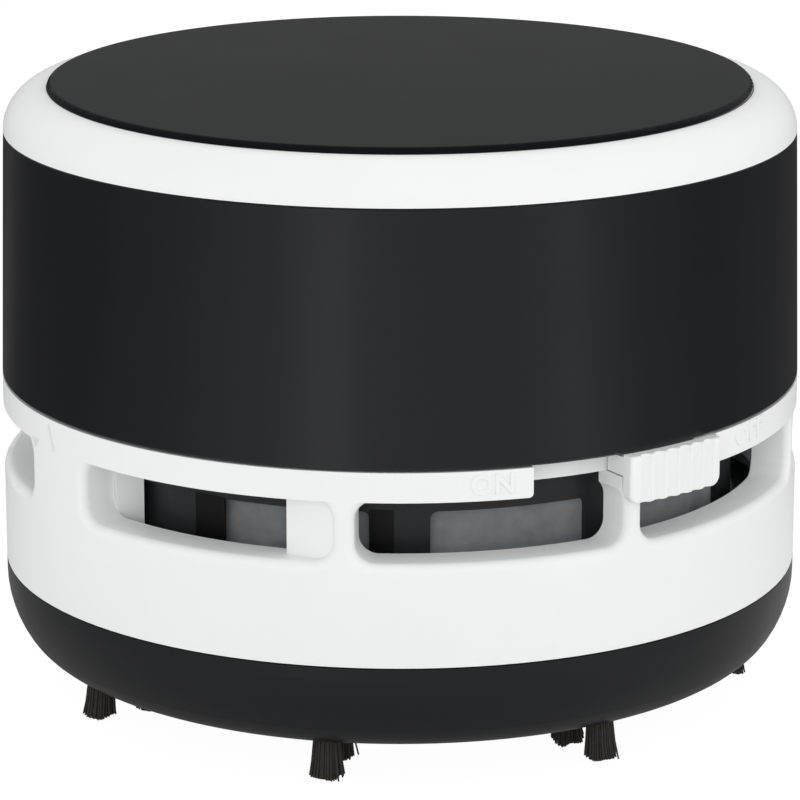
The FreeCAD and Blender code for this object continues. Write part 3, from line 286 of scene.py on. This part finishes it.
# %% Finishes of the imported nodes
finishes = {
    white_abs: ["ring_housing", "cap_shell", "switch_knob", "motor_deck"],
    inner_white_and_painted_shade: ["battery_tray", "switch_carrier", "motor_end_cap"],
    black_band_abs: ["band_sleeve"],
    black_base_abs: ["base_bowl"],
    disc_acrylic: ["top_disc"],
    black_frame_abs: ["filter_frame", "impeller"],
    filter_cloth: ["filter_mesh"],
    rubber: ["filter_gasket"],
    foam: ["motor_cushion"],
    drawn_steel: ["motor_can", "motor_shaft", "motor_strap"],
    nickel_plate: ["strap_screws", "cell_link_plate", "cell_contact_plates"],
    sintered_bronze: ["motor_bushes", "motor_terminals", "switch_contacts", "switch_wiper"],
    enamelled_copper: ["motor_armature"],
    ferrite: ["motor_magnets"],
    cell_sleeve: ["battery_cells"],
    nylon: ["outer_bristle_tufts", "inner_bristle_tufts"],
}
for material, nodes in finishes.items():
    for node in nodes:
        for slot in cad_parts[node].material_slots:
            slot.material = material
print("finishes:", len(finishes), "for", sum(len(nodes) for nodes in finishes.values()), "nodes")

# %% [markdown]
# In the photograph the woven sleeve shows right across each window of the black cage, also over the
# thin bar beside each pillar. Strips of the same cloth cover these bars. They start on the sleeve
# They start on the sleeve and rise over the bar, so no edge shows. Two thin near-black strips left of
# the front are painted shadow: they stand for the shade in the recesses beside the cloth.

# %% Cloth over the bars of the cage, with angles in degrees and lengths in millimetres
CAGE_WINDOWS = 10
CAGE_PITCH = 360 / CAGE_WINDOWS
BLIND_WINDOW = 9
PILLAR_EDGE = 4.8
BAR_SPAN = 4.0
RISE_SPAN = 2.4
CLOTH_OVERLAP = 0.2
SLEEVE_RELIEF = 0.02
BAR_RELIEF = 0.78
CAGE_RELIEF = 1.48
WINDOW_FOOT = 1.4
WINDOW_HEAD = 1.5
CLOTH_DEPTH = 0.04
STRIP_COLUMNS = 16
# Start, width and depth of each strip of painted shadow
SHADOW_STRIPS = [
    (-PILLAR_EDGE - 0.1, 3.9, 0.04),
    (PILLAR_EDGE - CAGE_PITCH - 3.7, 5.6, 0.3),
]


def curved_strip(start, span, reliefs, rise_share, depth):
    """An upright strip on the round cage: its start and width, its relief at both, and its depth."""
    bpy.ops.object.select_all(action="DESELECT")
    bpy.ops.mesh.primitive_grid_add(x_subdivisions=STRIP_COLUMNS, y_subdivisions=2, size=1)
    strip = bpy.context.object
    low = cloth_low[2] + WINDOW_FOOT
    high = cloth_high[2] - WINDOW_HEAD
    for vertex in strip.data.vertices:
        share = vertex.co.x + 0.5
        rise = min(1, share / rise_share)
        rise = rise * rise * (3 - 2 * rise)
        radius = cloth_radius + reliefs[0] + (reliefs[1] - reliefs[0]) * rise
        turn = math.radians(start + span * share)
        height = low + (high - low) * (vertex.co.y + 0.5)
        vertex.co = Vector((radius * math.sin(turn), -radius * math.cos(turn), height)) * MM
    thicken = strip.modifiers.new("thickness", "SOLIDIFY")
    thicken.thickness = depth * MM
    thicken.offset = -1
    bpy.ops.object.modifier_apply(modifier=thicken.name)
    return strip


def joined(name, parts, material, body):
    """Makes one named object of several, with its material, and lets it ride a body."""
    bpy.ops.object.select_all(action="DESELECT")
    for part in parts:
        part.select_set(True)
    bpy.context.view_layer.objects.active = parts[0]
    bpy.ops.object.join()
    whole = bpy.context.object
    whole.name = name
    whole.data.name = name
    whole.data.materials.append(material)
    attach(whole, body)
    print(name, len(whole.data.polygons), "faces")
    return whole


cloth_span = RISE_SPAN + BAR_SPAN
strips = [
    curved_strip(
        CAGE_PITCH * index - PILLAR_EDGE - BAR_SPAN - RISE_SPAN, cloth_span + CLOTH_OVERLAP,
        (SLEEVE_RELIEF, BAR_RELIEF), RISE_SPAN / cloth_span, CLOTH_DEPTH,
    )
    for index in range(CAGE_WINDOWS) if index != BLIND_WINDOW
]
joined("cloth_over_bars", strips, filter_cloth, "filter")
# Thin near-black strips of painted shadow, where the recesses beside the cloth lie in shade
shadow_strips = [
    curved_strip(start, span, (CAGE_RELIEF, CAGE_RELIEF), 1, depth)
    for start, span, depth in SHADOW_STRIPS
]
joined("cage_painted_shadow", shadow_strips, painted_shadow_black_abs, "filter")

# %% [markdown]
# The first window of each group ends at a rib whose face leans towards the front, so that a grey
# wall shows beside the cage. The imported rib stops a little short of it, and a wedge completes it.

# %% Wedges on the end ribs: how far in from the ring's wall, at what angles and how high they are
WEDGE_OUTER = 4.05
WEDGE_INNER = 6.2
RIB_ANGLE = -49.4
OUTER_ANGLE = -48.4
INNER_ANGLE = -45.9
WEDGE_LOW = 22.5
WEDGE_HIGH = 32.0


def wedge(group_turn):
    """An upright wedge inside the ring, made of a cube: its left side stays on the rib."""
    bpy.ops.object.select_all(action="DESELECT")
    bpy.ops.mesh.primitive_cube_add(size=1)
    piece = bpy.context.object
    for vertex in piece.data.vertices:
        inside = vertex.co.y > 0
        radius = body_radius - (WEDGE_INNER if inside else WEDGE_OUTER)
        face_angle = INNER_ANGLE if inside else OUTER_ANGLE
        turn = math.radians((face_angle if vertex.co.x > 0 else RIB_ANGLE) + group_turn)
        height = WEDGE_HIGH if vertex.co.z > 0 else WEDGE_LOW
        vertex.co = Vector((radius * math.sin(turn), -radius * math.cos(turn), height)) * MM
    return piece


# The wedges take the greyer white: painted shade, for the wall inside the window that lies in shade
joined("end_rib_wedges", [wedge(0), wedge(180)], inner_white_and_painted_shade, "main")

# %% [markdown]
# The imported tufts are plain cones. Real ones are bundles of stiff nylon bristles of uneven length
# that were cut at the factory and have worn since, so each cone is replaced by 150 bristles. One
# bristle is modelled once, as a hexagon that is extruded three times, and its copies are bent to
# run from the table up into the socket.

# %% One bristle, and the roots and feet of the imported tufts
BRISTLE_RADIUS = 0.1
BRISTLE_RINGS = 4
TUFT_REACH = 4.5
FOOT_LEVEL = 0.1


def one_bristle():
    """A six-sided bristle along Z, with one ring of corners at each whole millimetre."""
    bpy.ops.object.select_all(action="DESELECT")
    bpy.ops.mesh.primitive_circle_add(vertices=6, radius=BRISTLE_RADIUS * MM, fill_type="NGON")
    bristle = bpy.context.object
    bpy.ops.object.mode_set(mode="EDIT")
    bpy.ops.mesh.select_all(action="SELECT")
    for ring in range(BRISTLE_RINGS - 1):
        bpy.ops.mesh.extrude_region_move(TRANSFORM_OT_translate={"value": (0, 0, MM)})
    bpy.ops.mesh.select_all(action="SELECT")
    bpy.ops.mesh.normals_make_consistent(inside=False)
    bpy.ops.object.mode_set(mode="OBJECT")
    return bristle


def tuft_places(node):
    """For each packed tuft: the middle of its root and of its foot, and its radius at both."""
    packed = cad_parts[node]
    points = [packed.matrix_world @ vertex.co for vertex in packed.data.vertices]
    groups = []
    for point in points:
        for group in groups:
            if (group[0].xy - point.xy).length < TUFT_REACH * MM:
                group.append(point)
                break
        else:
            groups.append([point])
    places = []
    for group in groups:
        root = [point for point in group if point.z > underside * MM]
        foot = [point for point in group if point.z < FOOT_LEVEL * MM]
        ends = []
        for ring in (root, foot):
            middle = sum((point.xy for point in ring), Vector((0, 0))) / len(ring)
            ends.append((middle, max((point.xy - middle).length for point in ring)))
        places.append(ends)
    return places


# %% [markdown]
# The bristles fill each tuft in a sunflower spiral, which packs a circle evenly without a visible
# grid. How far one ends above the table follows slow waves round the tuft, its distance from the
# middle and a little chance, so that the foot looks ragged in clumps. A few stray ones at the right
# edge splay outwards more than the rest.

# %% Bristle tufts, with lengths in millimetres
BRISTLES_PER_TUFT = 150
GOLDEN_ANGLE = math.pi * (3 - math.sqrt(5))
BEND_SHARE = 0.45
SOCKET_DEPTH = 1.8
FOOT_SHARES = (1, 0.5, 0, 0)
LEAST_LIFT = 0.02
MEAN_LIFT = 0.2
CLUMP_LIFT = 0.4
EDGE_LIFT = 0.35
CHANCE_LIFT = (-0.04, 0.07)
CLUMP_WAVES = 3
CLUMP_SIZES = (0.2, 0.5)
STRAY_EDGE = 0.94
STRAY_SIDE = 0.6
STRAY_CHANCE = 0.5
STRAY_SPLAY = (0.3, 0.6)
PLAIN_SPLAY = (0.1, 0.2)
dice = random.Random(7)


def bristle_rings(ends, place, lift, splay):
    """The middle of each ring of a bristle, from its foot up to its root in the socket."""
    (root, root_radius), (foot, foot_radius) = ends
    share, turn = place
    spread = Vector((math.cos(turn), math.sin(turn))) * share
    top = root + spread * (root_radius / MM - BRISTLE_RADIUS) * MM
    low = foot + spread * (foot_radius / MM - BRISTLE_RADIUS) * MM + splay
    levels = [
        lift, underside * BEND_SHARE * MM, underside * MM, (underside + SOCKET_DEPTH) * MM,
    ]
    return [(*top.lerp(low, way), level) for way, level in zip(FOOT_SHARES, levels)]


def bristled(name, node):
    """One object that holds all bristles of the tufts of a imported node."""
    template = one_bristle()
    parts = []
    for ends in tuft_places(node):
        waves = [
            (dice.uniform(0, 2 * math.pi), dice.uniform(*CLUMP_SIZES)) for _ in range(CLUMP_WAVES)
        ]
        for index in range(BRISTLES_PER_TUFT):
            share = math.sqrt((index + 0.5) / BRISTLES_PER_TUFT)
            turn = index * GOLDEN_ANGLE
            clump = sum(
                size * math.sin(turn * count + phase)
                for count, (phase, size) in enumerate(waves, start=2)
            )
            wave = MEAN_LIFT + CLUMP_LIFT * clump * share + EDGE_LIFT * share ** 3
            lift = max(LEAST_LIFT, wave + dice.uniform(*CHANCE_LIFT)) * MM
            away = Vector((math.cos(turn), math.sin(turn)))
            stray = share > STRAY_EDGE and away.x > STRAY_SIDE and dice.random() < STRAY_CHANCE
            splay = away * dice.uniform(*(STRAY_SPLAY if stray else PLAIN_SPLAY)) * MM
            middles = bristle_rings(ends, (share, turn), lift, splay)
            copy = template.copy()
            copy.data = template.data.copy()
            bpy.context.collection.objects.link(copy)
            for vertex in copy.data.vertices:
                middle = Vector(middles[round(vertex.co.z / MM)])
                vertex.co = middle + Vector((vertex.co.x, vertex.co.y, 0))
            parts.append(copy)
    bpy.data.objects.remove(template)
    whole = joined(name, parts, nylon, "base")
    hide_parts(node)


bristled("outer_bristles", "outer_bristle_tufts")
bristled("inner_bristles", "inner_bristle_tufts")

# %% [markdown]
# The words ON and OFF stand a little proud of the ring on both sides of the slide. They are set as
# text, made a mesh, and then each corner is laid onto the round wall: its distance along the line
# becomes an angle, and its thickness a radius.

# %% Raised words beside the slide
WORD_RELIEF = 0.06
STROKE_GROWTH = 0.07
STROKE_BEVEL = 0.05
CAPITAL_SHARE = 0.72
LETTER_SPACING = 1.1


def wrapped(piece, angle, level):
    """Lays a flat mesh onto the ring: x becomes the way round it, z the distance from its wall."""
    for vertex in piece.data.vertices:
        x, y, z = vertex.co / MM
        turn = math.radians(angle) + x / body_radius
        radius = body_radius + z
        vertex.co = Vector((radius * math.sin(turn), -radius * math.cos(turn), level + y)) * MM


def word(name, letters, angle, level, height, stretch):
    """Letters of a height and a stretch, whose middle is at an angle and a level on the ring."""
    bpy.ops.object.select_all(action="DESELECT")
    bpy.ops.object.text_add()
    piece = bpy.context.object
    piece.name = name
    piece.data.body = letters
    piece.data.align_x = "CENTER"
    piece.data.align_y = "CENTER"
    piece.data.size = height / CAPITAL_SHARE * MM
    piece.data.space_character = LETTER_SPACING
    piece.data.resolution_u = 4
    piece.data.extrude = WORD_RELIEF * MM
    piece.data.offset = STROKE_GROWTH * MM
    piece.data.bevel_depth = STROKE_BEVEL * MM
    piece.data.bevel_resolution = 1
    bpy.ops.object.convert(target="MESH")
    piece.data.transform(Matrix.Diagonal((stretch, 1, 1, 1)))
    wrapped(piece, angle, level)
    piece.data.materials.append(white_abs)
    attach(piece, "main")
    print(name, len(piece.data.polygons), "faces")


word("word_on", "ON", 12.4, 32.9, 2.0, 0.98)
word("word_off", "OFF", 57.0, 33.1, 2.0, 1.1)

# %% [markdown]
# Two small lock marks stand left of the front, an arrow head and a slanted bar. They take the greyer
# white, painted shade for the shading at their raised edges, so they look a little darker than the
# ring round them.

# %% Lock marks
MARK_RELIEF = 0.03


def lock_mark(name, corners, width, height, tilt, angle, level):
    """A flat mark with three or four corners, turned by a tilt in degrees and laid on the ring."""
    bpy.ops.object.select_all(action="DESELECT")
    bpy.ops.mesh.primitive_circle_add(vertices=corners, radius=1, fill_type="NGON")
    mark = bpy.context.object
    mark.name = name
    bpy.ops.object.mode_set(mode="EDIT")
    bpy.ops.mesh.select_all(action="SELECT")
    bpy.ops.mesh.extrude_region_move(TRANSFORM_OT_translate={"value": (0, 0, 1)})
    bpy.ops.mesh.select_all(action="SELECT")
    bpy.ops.mesh.normals_make_consistent(inside=False)
    bpy.ops.object.mode_set(mode="OBJECT")
    square_up = Matrix.Rotation(math.radians(45 if corners == 4 else 90), 4, "Z")
    size = Matrix.Diagonal((width / 2 * MM, height / 2 * MM, MARK_RELIEF * 2 * MM, 1))
    sink = Matrix.Translation((0, 0, -MARK_RELIEF * MM))
    mark.data.transform(sink @ Matrix.Rotation(math.radians(tilt), 4, "Z") @ size @ square_up)
    wrapped(mark, angle, level)
    # The greyer white here is painted shade for the mark's raised edges
    mark.data.materials.append(inner_white_and_painted_shade)
    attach(mark, "main")


lock_mark("lock_arrow", 3, 1.5, 2.2, 90, -61.9, 31.3)
lock_mark("lock_bar", 4, 0.6, 4.0, 22, -56.9, 32.5)

# %% [markdown]
# The photograph's ground is pure white, and the sweeper seems to stand in a soft light tent. The
# world gives an even light. Rays from the camera see it as pure white, and mirror rays see a
# dimmer studio, because the black pieces in the photograph hardly show the white ground. The band
# mirrors the table far out and the base mirrors it close by, so the table has two brightness
# curves for mirror rays, each over the angle from the front.

# %% World
WORLD_LIGHT = 0.78
STUDIO_IN_REFLECTIONS = 0.14


def ray_kinds(tree):
    """Two outputs: one is 1 for rays that the camera sees, the other is 1 for mirror rays."""
    rays = add_node(tree, "ShaderNodeLightPath")
    seen = add_node(tree, "ShaderNodeMath", {"operation": "MAXIMUM"}, {
        0: rays.outputs["Is Camera Ray"], 1: rays.outputs["Is Transmission Ray"],
    })
    return seen.outputs[0], rays.outputs["Is Glossy Ray"]


world = bpy.data.worlds.new("light_tent")
bpy.context.scene.world = world
world.use_nodes = True
world.node_tree.nodes.clear()
seen, glossy = ray_kinds(world.node_tree)
mirrored = add_node(world.node_tree, "ShaderNodeMix", {}, {
    "Factor": glossy, "A": WORLD_LIGHT, "B": STUDIO_IN_REFLECTIONS,
})
strength = add_node(world.node_tree, "ShaderNodeMix", {}, {
    "Factor": seen, "A": mirrored.outputs["Result"], "B": 1.0,
})
sky = add_node(world.node_tree, "ShaderNodeBackground", inputs={
    "Color": linear("#FFFFFF"), "Strength": strength.outputs["Result"],
})
add_node(world.node_tree, "ShaderNodeOutputWorld", inputs={"Surface": sky.outputs[0]})

# %% Table, with lengths in millimetres
FLOOR_SIDE = 6000
FLOOR_WHITENESS = 0.94
FLOOR_GLOW = 1.04
# Close under the body the table is dimmer for mirror rays: a painted shadow of the body, seen in the
# base's reflections
UNDER_REACH = (35, 60)
UNDER_SHARE = 0.75
FAR_REACH = (75, 110)
# Angle from the front in degrees, and brightness
FAR_TABLE = [
    (-178, 0), (-164, 0.01), (-145, 0.1), (-125, 0.06), (-95, 0.08), (-72, 0.18),
    (-35, 0.44), (-17, 0.8), (-5, 0.48), (27, 0.43), (36, 0.47), (45, 0.64), (56, 0.37),
    (69, 0.22), (90, 0.11), (105, 0.1), (130, 0.08), (150, 0.06), (178, 0.05),
]
NEAR_TABLE = [
    (-178, 0.9), (-146, 0.85), (-124, 0.4), (-98, 0.3), (0, 0.3), (60, 0.36), (98, 0.5),
    (124, 0.62), (146, 0.75), (178, 0.75),
]

bpy.ops.object.select_all(action="DESELECT")
bpy.ops.mesh.primitive_plane_add(size=FLOOR_SIDE * MM)
floor = bpy.context.object
floor.name = "white_table"
table_top, tree, output, place = new_material("white_table_top")
seen, glossy = ray_kinds(tree)
parts = add_node(tree, "ShaderNodeSeparateXYZ", inputs={"Vector": place})
front = add_node(tree, "ShaderNodeMath", {"operation": "MULTIPLY"}, {0: parts.outputs["Y"], 1: -1.0})
around = add_node(tree, "ShaderNodeMath", {"operation": "ARCTAN2"}, {
    0: parts.outputs["X"], 1: front.outputs[0],
})
along = add_node(tree, "ShaderNodeMapRange", inputs={
    "Value": around.outputs[0], "From Min": -math.pi, "From Max": math.pi,
})


def ramp_round(table):
    """A ramp of brightness over the angle round the body."""
    ramp = add_node(tree, "ShaderNodeValToRGB", inputs={"Fac": along.outputs["Result"]})
    stops = ramp.color_ramp.elements
    ramp.color_ramp.interpolation = "EASE"
    for angle, brightness in table[2:]:
        stops.new(angle / 360 + 0.5)
    for stop, (angle, brightness) in zip(stops, table):
        stop.position = angle / 360 + 0.5
        stop.color = (brightness, brightness, brightness, 1)
    return ramp.outputs["Color"]


reach = add_node(tree, "ShaderNodeVectorMath", {"operation": "LENGTH"}, {0: place})
# A painted shadow: mirror rays see the table dimmer close under the body
under_shadow = add_node(tree, "ShaderNodeMapRange", inputs={
    "Value": reach.outputs["Value"], "To Min": UNDER_SHARE, "To Max": 1.0,
    "From Min": UNDER_REACH[0] * MM, "From Max": UNDER_REACH[1] * MM,
})
near_body = add_node(tree, "ShaderNodeMath", {"operation": "MULTIPLY"}, {
    0: ramp_round(NEAR_TABLE), 1: under_shadow.outputs["Result"],
})
far_share = add_node(tree, "ShaderNodeMapRange", inputs={
    "Value": reach.outputs["Value"],
    "From Min": FAR_REACH[0] * MM, "From Max": FAR_REACH[1] * MM,
})
mirrored = add_node(tree, "ShaderNodeMix", {}, {
    "Factor": far_share.outputs["Result"], "A": near_body.outputs["Value"],
    "B": ramp_round(FAR_TABLE),
})
glow_strength = add_node(tree, "ShaderNodeMix", {}, {
    "Factor": glossy, "A": FLOOR_GLOW, "B": mirrored.outputs["Result"],
})
glow = add_node(tree, "ShaderNodeEmission", inputs={
    "Color": linear("#FFFFFF"), "Strength": glow_strength.outputs["Result"],
})
matte = add_node(tree, "ShaderNodeBsdfDiffuse", inputs={"Color": linear("#F0F0F0")})
camera_share = add_node(tree, "ShaderNodeMath", {"operation": "MULTIPLY"}, {
    0: seen, 1: FLOOR_WHITENESS,
})
share = add_node(tree, "ShaderNodeMath", {"operation": "MAXIMUM"}, {
    0: camera_share.outputs[0], 1: glossy,
})
surface = add_node(tree, "ShaderNodeMixShader", inputs={
    0: share.outputs[0], 1: matte.outputs[0], 2: glow.outputs[0],
})
tree.links.new(surface.outputs[0], output.inputs["Surface"])
floor.data.materials.append(table_top)

# %% [markdown]
# Five soft boxes stand round the sweeper. Neither the camera nor the polished pieces see them.

# %% Soft boxes: angles in degrees, counted from the front, lengths in millimetres, power in watts
LIGHT_AIM = 40


def soft_box(name, azimuth, elevation, distance, width, height, power):
    """An area light that faces the body from an angle round it and an angle above it."""
    data = bpy.data.lights.new(name, "AREA")
    data.shape = "RECTANGLE"
    data.size = width * MM
    data.size_y = height * MM
    data.energy = power
    light = bpy.data.objects.new(name, data)
    bpy.context.collection.objects.link(light)
    turn = math.radians(azimuth)
    rise = math.radians(elevation)
    away = Vector((math.sin(turn) * math.cos(rise), -math.cos(turn) * math.cos(rise), math.sin(rise)))
    light.location = Vector((0, 0, LIGHT_AIM * MM)) + away * distance * MM
    light.rotation_euler = (-away).to_track_quat("-Z", "Y").to_euler()
    light.visible_camera = False
    light.visible_glossy = False


soft_box("front_key", -8, 16, 600, 420, 300, 0.6)
soft_box("right_fill", 75, 20, 600, 300, 300, 0.45)
soft_box("left_fill", -80, 15, 600, 300, 300, 0.15)
soft_box("top_fill", 0, 88, 700, 500, 500, 0.2)
soft_box("back_fill", 180, 50, 700, 500, 300, 0.7)

bpy.context.scene.view_settings.view_transform = "Standard"
